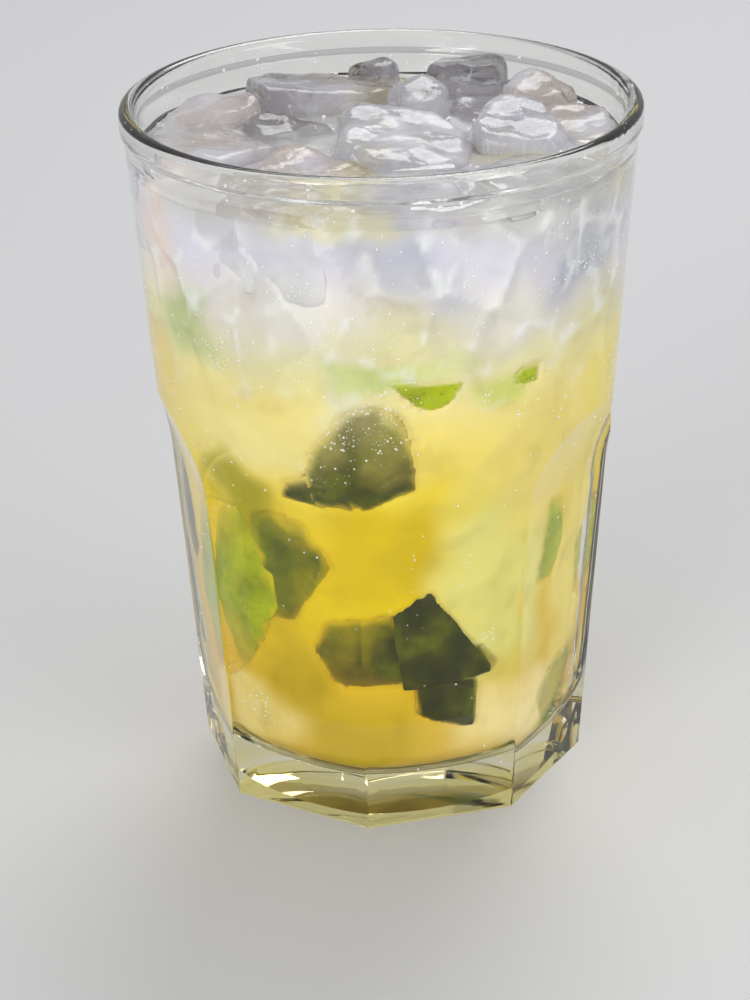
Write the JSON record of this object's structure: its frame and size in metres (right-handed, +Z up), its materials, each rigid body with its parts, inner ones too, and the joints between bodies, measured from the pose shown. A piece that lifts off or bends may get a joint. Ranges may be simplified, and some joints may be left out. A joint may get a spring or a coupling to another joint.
{
  "type": "caipirinha in its glass",
  "caption": "Short faceted tumbler of clear glass filled with a cloudy lime drink, lumps of ice standing out at the brim.",
  "frame": {"origin": "centre of the base, on the surface that the glass stands on", "axes": "+Z up along the glass's axis; flat facets face -X, +X, -Y and +Y"},
  "size_m": [0.084, 0.084, 0.116],
  "materials": {
    "glass": "clear polished glass, frosted by condensation",
    "drink": "cloudy liquid, pale at the top and yellow below, with muddled lime",
    "ice": "wet melting ice, clear to cloudy"
  },
  "bodies": {
    "root": {"glass": "glass", "drink": "drink", "ice_rear_left": "ice", "ice_left": "ice", "ice_front_left": "ice", "ice_low_left": "ice", "ice_wedge": "ice", "ice_centre": "ice", "ice_pebble": "ice", "ice_knob": "ice", "ice_frosty": "ice", "ice_back": "ice", "ice_back_right": "ice", "ice_flake": "ice", "ice_grey": "ice", "ice_crystal": "ice", "ice_right": "ice", "ice_front": "ice", "ice_front_right": "ice"}
  },
  "joints": []
}
